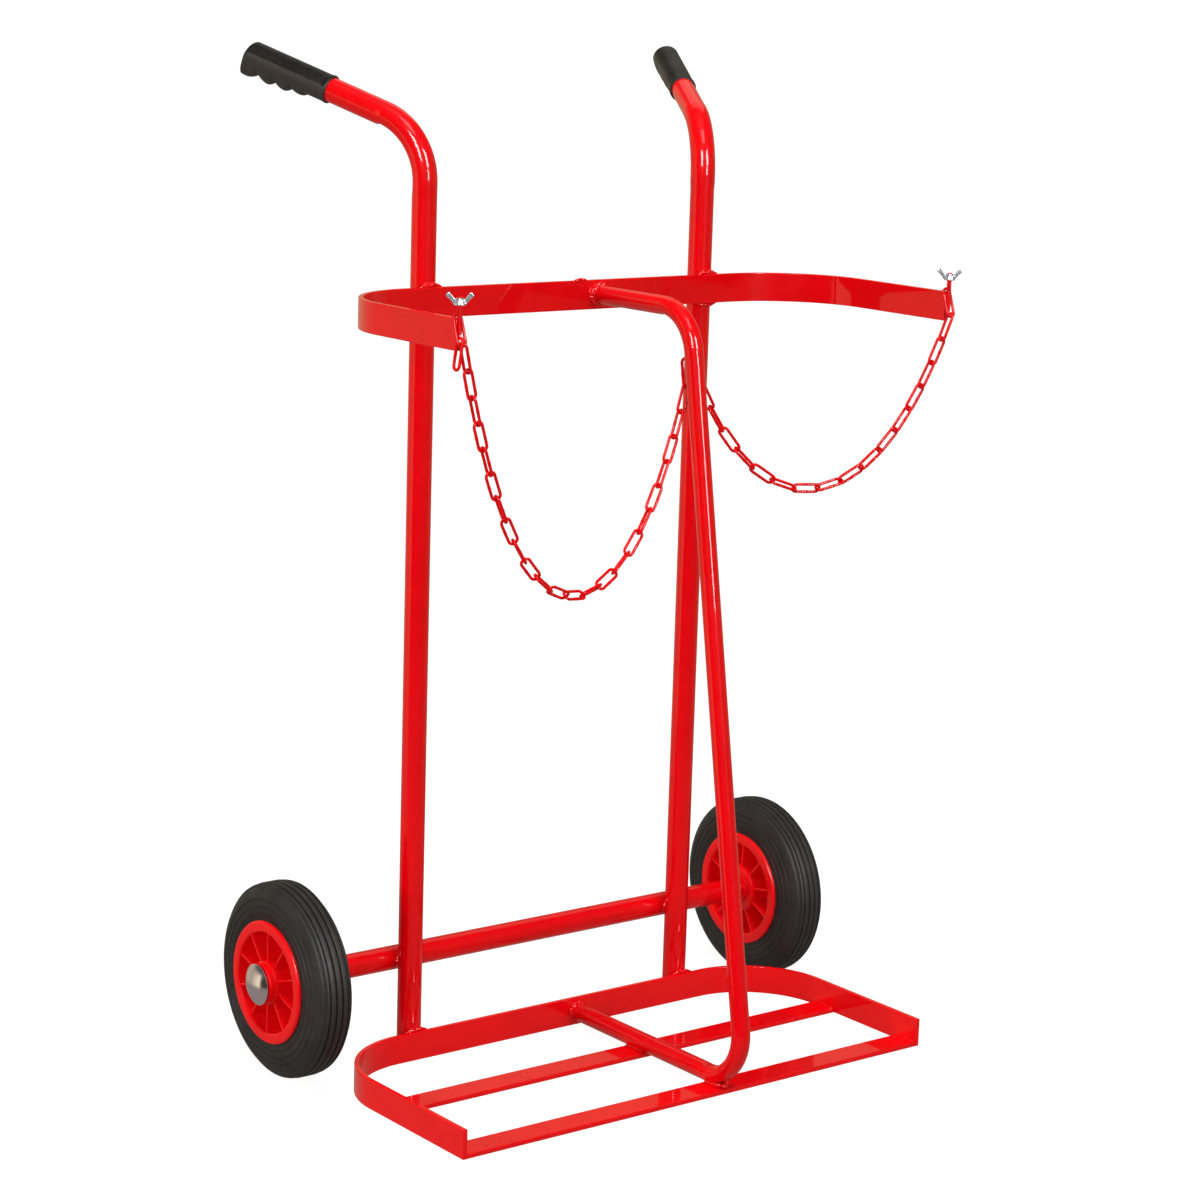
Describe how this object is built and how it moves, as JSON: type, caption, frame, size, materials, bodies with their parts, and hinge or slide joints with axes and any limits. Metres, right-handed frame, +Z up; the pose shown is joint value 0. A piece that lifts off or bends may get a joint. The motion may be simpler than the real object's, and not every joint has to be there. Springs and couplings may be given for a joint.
{
  "type": "oxy acetylene torch cart",
  "caption": "Upright hand cart for a pair of gas cylinders: bent tube frame with two bays, retaining chains held by wing nuts, soft grips and solid rear wheels on a through axle",
  "frame": {"origin": "centre of the bounding box on the floor: midway between the wheels' outer ends and between the front of the divider and the handle ends", "axes": "+X to the right seen from the open front, -Y towards the open front where cylinders are loaded, +Z up"},
  "size_m": [0.7046, 0.4878, 1.0298],
  "materials": {
    "frame_red": "gloss red powder coat on welded mild steel",
    "chain_red": "red coated steel wire",
    "zinc_plate": "bright zinc plate",
    "bright_steel": "ground steel, lightly oiled",
    "cap_chrome": "bright pressed cap",
    "grip_black": "soft black moulded vinyl",
    "rubber_tyre": "solid black rubber",
    "wheel_red": "red moulded plastic",
    "cage_nylon": "natural nylon"
  },
  "bodies": {
    "frame": {"axle_rod": "bright_steel", "axle_tube": "frame_red", "base_band": "frame_red", "divider_tube": "frame_red", "front_slat": "frame_red", "left_anchor_link": "chain_red", "left_axle_cap": "cap_chrome", "left_chain_stud": "frame_red", "left_grip": "grip_black", "left_inner_washer": "zinc_plate", "left_outer_washer": "zinc_plate", "left_stud_link": "chain_red", "left_upright": "frame_red", "rear_slat": "frame_red", "right_anchor_link": "chain_red", "right_axle_cap": "cap_chrome", "right_chain_stud": "frame_red", "right_grip": "grip_black", "right_inner_washer": "zinc_plate", "right_outer_washer": "zinc_plate", "right_stud_link": "chain_red", "right_upright": "frame_red", "top_band": "frame_red"},
    "left_wheel": {"left_tyre": "rubber_tyre", "left_wheel_rim": "wheel_red"},
    "right_wheel": {"right_tyre": "rubber_tyre", "right_wheel_rim": "wheel_red"},
    "left_bearing": {"left_roller_cage": "cage_nylon", "left_bearing_rollers": "bright_steel"},
    "right_bearing": {"right_roller_cage": "cage_nylon", "right_bearing_rollers": "bright_steel"},
    "left_nut": {"left_wing_nut": "zinc_plate"},
    "right_nut": {"right_wing_nut": "zinc_plate"},
    "left_chain": {"left_chain_links": "chain_red"},
    "right_chain": {"right_chain_links": "chain_red"},
    "left_spare": {"left_spare_link": "chain_red"}
  },
  "joints": [
    {"name": "left_wheel_spin", "type": "hinge", "parent": "frame", "child": "left_wheel", "pos_m": [-0.3095, 0.07691, 0.1], "axis": [1, 0, 0], "continuous": true},
    {"name": "left_bearing_spin", "type": "hinge", "parent": "frame", "child": "left_bearing", "pos_m": [-0.3095, 0.07691, 0.1], "axis": [1, 0, 0], "continuous": true},
    {"name": "left_nut_turn", "type": "hinge", "parent": "frame", "child": "left_nut", "pos_m": [-0.3035, -0.19309, 0.813], "axis": [0, 0, 1], "continuous": true},
    {"name": "left_chain_swing", "type": "hinge", "parent": "frame", "child": "left_chain", "pos_m": [-0.30222, -0.19834, 0.77309], "axis": [0.9492, 0.2475, -0.1945], "range_deg": [-10, 13]},
    {"name": "right_wheel_spin", "type": "hinge", "parent": "frame", "child": "right_wheel", "pos_m": [0.3095, 0.07691, 0.1], "axis": [1, 0, 0], "continuous": true},
    {"name": "right_bearing_spin", "type": "hinge", "parent": "frame", "child": "right_bearing", "pos_m": [0.3095, 0.07691, 0.1], "axis": [1, 0, 0], "continuous": true},
    {"name": "right_nut_turn", "type": "hinge", "parent": "frame", "child": "right_nut", "pos_m": [0.3035, -0.19309, 0.813], "axis": [0, 0, 1], "continuous": true},
    {"name": "right_chain_swing", "type": "hinge", "parent": "frame", "child": "right_chain", "pos_m": [0.30191, -0.1983, 0.77319], "axis": [-0.926, 0.2913, -0.2402], "range_deg": [-13, 14]},
    {"name": "left_spare_swing", "type": "hinge", "parent": "frame", "child": "left_spare", "pos_m": [-0.30494, -0.19731, 0.78066], "axis": [0, 1, 0], "range_deg": [0, 10]}
  ],
  "couplings": [
    {"joint": "left_bearing_spin", "follows": "left_wheel_spin", "ratio": 0.5833},
    {"joint": "right_bearing_spin", "follows": "right_wheel_spin", "ratio": 0.5833}
  ]
}
